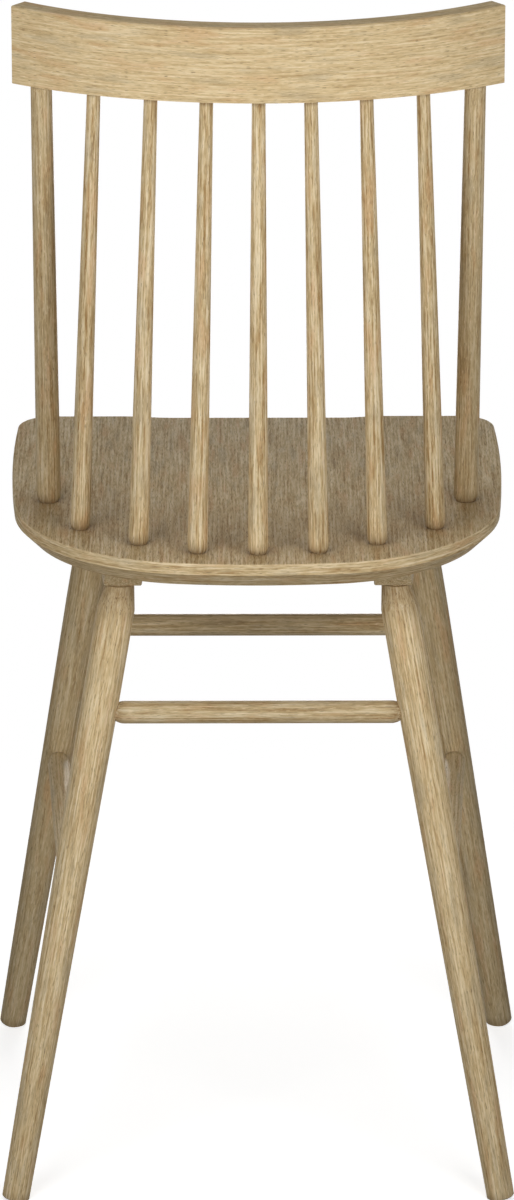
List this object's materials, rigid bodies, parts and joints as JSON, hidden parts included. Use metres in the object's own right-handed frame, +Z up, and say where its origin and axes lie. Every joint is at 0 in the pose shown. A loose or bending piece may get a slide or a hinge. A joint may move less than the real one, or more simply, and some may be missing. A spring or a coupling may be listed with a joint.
{
  "type": "counter stool",
  "caption": "Spindle-back counter stool in pale oak: bent crest rail over tapered rods, scooped D-shaped seat, splayed turned legs joined by round stretchers.",
  "frame": {"origin": "on the floor, under the middle of the whole stool's bounding box", "axes": "+Z up, the sitter faces -Y so the back is towards +Y, +X to the sitter's left"},
  "size_m": [0.5016, 0.5118, 1.1456],
  "materials": {
    "oak_seat": "pale limed oak, satin",
    "oak_crest": "pale limed oak, satin",
    "oak_rods": "pale limed oak, satin",
    "oak_legs": "pale limed oak, satin",
    "oak_rails": "pale limed oak, satin",
    "oak_battens": "pale limed oak, satin"
  },
  "bodies": {
    "root": {"seat": "oak_seat", "crest_rail": "oak_crest", "back_post_left": "oak_rods", "back_post_right": "oak_rods", "spindle_1": "oak_rods", "spindle_2": "oak_rods", "spindle_3": "oak_rods", "spindle_4": "oak_rods", "spindle_5": "oak_rods", "spindle_6": "oak_rods", "spindle_7": "oak_rods", "leg_rear_left": "oak_legs", "leg_rear_right": "oak_legs", "leg_front_left": "oak_legs", "leg_front_right": "oak_legs", "stretcher_rear": "oak_rails", "stretcher_front": "oak_rails", "stretcher_left": "oak_rails", "stretcher_right": "oak_rails", "batten_left": "oak_battens", "batten_right": "oak_battens"}
  },
  "joints": []
}
